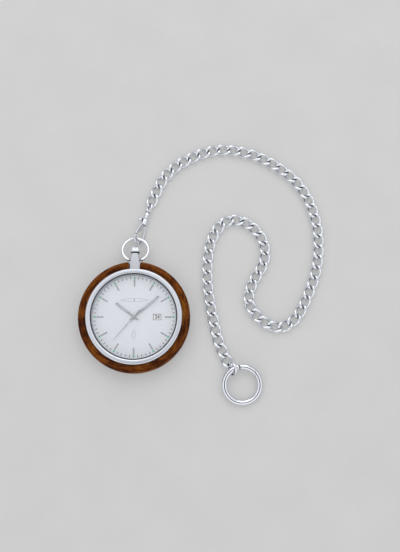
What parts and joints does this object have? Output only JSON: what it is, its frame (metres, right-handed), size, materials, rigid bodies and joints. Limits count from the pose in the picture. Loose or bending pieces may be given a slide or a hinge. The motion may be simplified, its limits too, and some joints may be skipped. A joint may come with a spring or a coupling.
{
  "type": "pocket watch with chain",
  "caption": "Open-face quartz pocket watch with a wooden rim, on a steel curb chain with a swivel snap clasp and a spring-gate end ring.",
  "frame": {"origin": "centre of the case back, on the plane that the watch and the chain lie on", "axes": "+Z out through the dial, +Y towards twelve o'clock and the crown, +X towards three o'clock"},
  "size_m": [0.1113, 0.121, 0.0096],
  "materials": {
    "steel": "satin",
    "polished_steel": "polished",
    "brushed_steel": "brushed",
    "walnut": "oiled",
    "crystal": "clear",
    "dial": "satin",
    "hands": "polished",
    "date_print": "matt",
    "rubber": "matt",
    "brass": "satin",
    "grey_plastic": "matt"
  },
  "bodies": {
    "watch": {"case_body": "steel", "wood_rim": "walnut", "bezel_ring": "polished_steel", "case_back": "brushed_steel", "crystal": "crystal", "dial": "dial", "rehaut_ring": "brushed_steel", "movement": "brass", "movement_holder": "grey_plastic", "battery": "brushed_steel"},
    "date_disc": {"date_disc": "date_print"},
    "hour_hand": {"hour_hand": "hands"},
    "minute_hand": {"minute_hand": "hands"},
    "second_hand": {"second_hand": "hands"},
    "crown_gasket": {"crown_gasket": "rubber"},
    "crown": {"crown": "polished_steel", "winding_stem": "steel"},
    "bow": {"bow": "polished_steel"},
    "clasp": {"clasp_body": "polished_steel", "clasp_gate_pin": "steel"},
    "clasp_gate": {"clasp_gate": "polished_steel"},
    "swivel": {"swivel_eye": "polished_steel", "swivel_rivet": "steel"},
    "links_01": {"links_01": "polished_steel"},
    "links_02": {"links_02": "polished_steel"},
    "links_03": {"links_03": "polished_steel"},
    "links_04": {"links_04": "polished_steel"},
    "links_05": {"links_05": "polished_steel"},
    "links_06": {"links_06": "polished_steel"},
    "links_07": {"links_07": "polished_steel"},
    "links_08": {"links_08": "polished_steel"},
    "links_09": {"links_09": "polished_steel"},
    "links_10": {"links_10": "polished_steel"},
    "links_11": {"links_11": "polished_steel"},
    "links_12": {"links_12": "polished_steel"},
    "links_13": {"links_13": "polished_steel"},
    "links_14": {"links_14": "polished_steel"},
    "links_15": {"links_15": "polished_steel"},
    "links_16": {"links_16": "polished_steel"},
    "links_17": {"links_17": "polished_steel"},
    "links_18": {"links_18": "polished_steel"},
    "links_19": {"links_19": "polished_steel"},
    "links_20": {"links_20": "polished_steel"},
    "links_21": {"links_21": "polished_steel"},
    "links_22": {"links_22": "polished_steel"},
    "links_23": {"links_23": "polished_steel"},
    "links_24": {"links_24": "polished_steel"},
    "links_25": {"links_25": "polished_steel"},
    "links_26": {"links_26": "polished_steel"},
    "links_27": {"links_27": "polished_steel"},
    "links_28": {"links_28": "polished_steel"},
    "links_29": {"links_29": "polished_steel"},
    "links_30": {"links_30": "polished_steel"},
    "links_31": {"links_31": "polished_steel"},
    "connecting_ring": {"connecting_ring": "polished_steel"},
    "end_ring": {"end_ring": "polished_steel", "end_ring_pin": "steel"},
    "end_ring_gate": {"end_ring_gate": "polished_steel"}
  },
  "joints": [
    {"name": "second_hand_turn", "type": "hinge", "parent": "watch", "child": "second_hand", "pos_m": [0, 0, 0.0074], "axis": [0, 0, -1], "continuous": true},
    {"name": "minute_hand_turn", "type": "hinge", "parent": "watch", "child": "minute_hand", "pos_m": [0, 0, 0.007], "axis": [0, 0, -1], "continuous": true},
    {"name": "hour_hand_turn", "type": "hinge", "parent": "watch", "child": "hour_hand", "pos_m": [0, 0, 0.0066], "axis": [0, 0, -1], "continuous": true},
    {"name": "date_disc_turn", "type": "hinge", "parent": "watch", "child": "date_disc", "pos_m": [0, 0, 0.0055], "axis": [0, 0, 1], "continuous": true},
    {"name": "crown_pull", "type": "slide", "parent": "watch", "child": "crown_gasket", "axis": [0, 1, 0], "range_m": [0, 0.0008]},
    {"name": "crown_turn", "type": "hinge", "parent": "crown_gasket", "child": "crown", "pos_m": [0, 0.031, 0.00418], "axis": [0, 1, 0], "continuous": true},
    {"name": "bow_swing", "type": "hinge", "parent": "watch", "child": "bow", "pos_m": [0, 0.0265, 0.00418], "axis": [1, 0, 0], "range_deg": [-70, 95]},
    {"name": "clasp_swing", "type": "hinge", "parent": "bow", "child": "clasp", "pos_m": [0.0013, 0.03638, 0.00256], "axis": [0.9787, -0.2027, 0.0332], "range_deg": [-40, 60]},
    {"name": "clasp_gate_open", "type": "hinge", "parent": "clasp", "child": "clasp_gate", "pos_m": [0.00337, 0.04402, 0.00243], "axis": [0.6864, -0.1745, 0.706], "range_deg": [0, 15], "stiffness_Nm_per_rad": 0.0006, "springref_deg": -8.59},
    {"name": "swivel_turn", "type": "hinge", "parent": "clasp", "child": "swivel", "pos_m": [0.00642, 0.05261, 0.0016], "axis": [0.3002, 0.9522, -0.0565], "continuous": true},
    {"name": "connecting_ring_slip", "type": "hinge", "parent": "links_31", "child": "connecting_ring", "pos_m": [0.04362, -0.02276, 0.00304], "axis": [-0.802, -0.3025, 0.515], "range_deg": [-15, 15]},
    {"name": "end_ring_turn", "type": "hinge", "parent": "connecting_ring", "child": "end_ring", "pos_m": [0.04815, -0.02983, 0.00232], "axis": [0.0623, -0.0972, 0.9933], "range_deg": [-220, 0]},
    {"name": "end_ring_gate_open", "type": "hinge", "parent": "end_ring", "child": "end_ring_gate", "pos_m": [0.04598, -0.02223, 0.0032], "axis": [0.0623, -0.0972, 0.9933], "range_deg": [-30, 0], "stiffness_Nm_per_rad": 0.0015, "springref_deg": 6.88},
    {"name": "fold_01", "type": "hinge", "parent": "swivel", "child": "links_01", "pos_m": [0.00642, 0.05261, 0.0016], "axis": [0.9117, -0.411, 0], "range_deg": [-24, 24]},
    {"name": "bend_02", "type": "hinge", "parent": "links_01", "child": "links_02", "pos_m": [0.0103, 0.06156, 0.0016], "axis": [0, 0, 1], "range_deg": [-4, 10]},
    {"name": "fold_03", "type": "hinge", "parent": "links_02", "child": "links_03", "pos_m": [0.01605, 0.06935, 0.0016], "axis": [-0.6742, 0.7386, 0], "range_deg": [-30, 30]},
    {"name": "bend_04", "type": "hinge", "parent": "links_03", "child": "links_04", "pos_m": [0.02416, 0.07471, 0.0016], "axis": [0, 0, -1], "range_deg": [-10, 4]},
    {"name": "fold_05", "type": "hinge", "parent": "links_04", "child": "links_05", "pos_m": [0.03322, 0.07828, 0.0016], "axis": [0.2468, -0.9691, 0], "range_deg": [-30, 30]},
    {"name": "bend_06", "type": "hinge", "parent": "links_05", "child": "links_06", "pos_m": [0.04289, 0.07912, 0.0016], "axis": [0, 0, 1], "range_deg": [-4, 10]},
    {"name": "fold_07", "type": "hinge", "parent": "links_06", "child": "links_07", "pos_m": [0.05245, 0.07728, 0.0016], "axis": [0.2923, 0.9563, 0], "range_deg": [-30, 30]},
    {"name": "bend_08", "type": "hinge", "parent": "links_07", "child": "links_08", "pos_m": [0.06138, 0.07341, 0.0016], "axis": [0, 0, -1], "range_deg": [-10, 5]},
    {"name": "fold_09", "type": "hinge", "parent": "links_08", "child": "links_09", "pos_m": [0.06951, 0.06804, 0.0016], "axis": [-0.6318, -0.7752, 0], "range_deg": [-30, 30]},
    {"name": "bend_10", "type": "hinge", "parent": "links_09", "child": "links_10", "pos_m": [0.07617, 0.06096, 0.0016], "axis": [0, 0, 1], "range_deg": [-6, 10]},
    {"name": "fold_11", "type": "hinge", "parent": "links_10", "child": "links_11", "pos_m": [0.08061, 0.05231, 0.0016], "axis": [0.9385, 0.3452, 0], "range_deg": [-30, 30]},
    {"name": "bend_12", "type": "hinge", "parent": "links_11", "child": "links_12", "pos_m": [0.0831, 0.04288, 0.0016], "axis": [0, 0, -1], "range_deg": [-10, 10]},
    {"name": "fold_13", "type": "hinge", "parent": "links_12", "child": "links_13", "pos_m": [0.08362, 0.03316, 0.0016], "axis": [-0.9996, 0.0287, 0], "range_deg": [-30, 30]},
    {"name": "bend_14", "type": "hinge", "parent": "links_13", "child": "links_14", "pos_m": [0.08253, 0.02348, 0.0016], "axis": [0, 0, 1], "range_deg": [-10, 10]},
    {"name": "fold_15", "type": "hinge", "parent": "links_14", "child": "links_15", "pos_m": [0.07972, 0.01415, 0.0016], "axis": [0.9342, -0.3568, 0], "range_deg": [-30, 30]},
    {"name": "bend_16", "type": "hinge", "parent": "links_15", "child": "links_16", "pos_m": [0.07583, 0.00521, 0.0016], "axis": [0, 0, -1], "range_deg": [-10, 10]},
    {"name": "fold_17", "type": "hinge", "parent": "links_16", "child": "links_17", "pos_m": [0.06999, -0.00246, 0.0016], "axis": [-0.5415, 0.8407, 0], "range_deg": [-22, 22]},
    {"name": "bend_18", "type": "hinge", "parent": "links_17", "child": "links_18", "pos_m": [0.06073, -0.00326, 0.0016], "axis": [0, 0, 1], "range_deg": [-10, 10]},
    {"name": "fold_19", "type": "hinge", "parent": "links_18", "child": "links_19", "pos_m": [0.05339, 0.00303, 0.0016], "axis": [-0.8386, -0.5447, 0], "range_deg": [-28, 28]},
    {"name": "bend_20", "type": "hinge", "parent": "links_19", "child": "links_20", "pos_m": [0.05177, 0.01229, 0.0016], "axis": [0, 0, -1], "range_deg": [-10, 10]},
    {"name": "fold_21", "type": "hinge", "parent": "links_20", "child": "links_21", "pos_m": [0.05601, 0.02101, 0.0016], "axis": [0.8633, -0.5047, 0], "range_deg": [-30, 30]},
    {"name": "bend_22", "type": "hinge", "parent": "links_21", "child": "links_22", "pos_m": [0.05925, 0.03001, 0.0016], "axis": [0, 0, 1], "range_deg": [-10, 10]},
    {"name": "fold_23", "type": "hinge", "parent": "links_22", "child": "links_23", "pos_m": [0.05637, 0.03915, 0.0016], "axis": [-0.8173, -0.5762, 0], "range_deg": [-30, 30]},
    {"name": "bend_24", "type": "hinge", "parent": "links_23", "child": "links_24", "pos_m": [0.04875, 0.04499, 0.0016], "axis": [0, 0, -1], "range_deg": [-10, 10]},
    {"name": "fold_25", "type": "hinge", "parent": "links_24", "child": "links_25", "pos_m": [0.03952, 0.04378, 0.0016], "axis": [-0.5886, 0.8084, 0], "range_deg": [-20, 20]},
    {"name": "bend_26", "type": "hinge", "parent": "links_25", "child": "links_26", "pos_m": [0.03441, 0.03563, 0.0016], "axis": [0, 0, 1], "range_deg": [-10, 10]},
    {"name": "fold_27", "type": "hinge", "parent": "links_26", "child": "links_27", "pos_m": [0.0328, 0.02603, 0.0016], "axis": [0.9979, -0.0645, 0], "range_deg": [-30, 30]},
    {"name": "bend_28", "type": "hinge", "parent": "links_27", "child": "links_28", "pos_m": [0.03277, 0.01628, 0.0016], "axis": [0, 0, -1], "range_deg": [-10, 10]},
    {"name": "fold_29", "type": "hinge", "parent": "links_28", "child": "links_29", "pos_m": [0.03391, 0.0066, 0.0016], "axis": [-0.985, -0.1727, 0], "range_deg": [-30, 30]},
    {"name": "bend_30", "type": "hinge", "parent": "links_29", "child": "links_30", "pos_m": [0.03587, -0.00296, 0.0016], "axis": [0, 0, 1], "range_deg": [-10, 10]},
    {"name": "fold_31", "type": "hinge", "parent": "links_30", "child": "links_31", "pos_m": [0.03837, -0.01238, 0.0016], "axis": [0.9408, 0.3391, 0], "range_deg": [-30, 30]}
  ],
  "couplings": [
    {"joint": "minute_hand_turn", "follows": "second_hand_turn", "ratio": 0.016667},
    {"joint": "hour_hand_turn", "follows": "second_hand_turn", "ratio": 0.0013889}
  ]
}
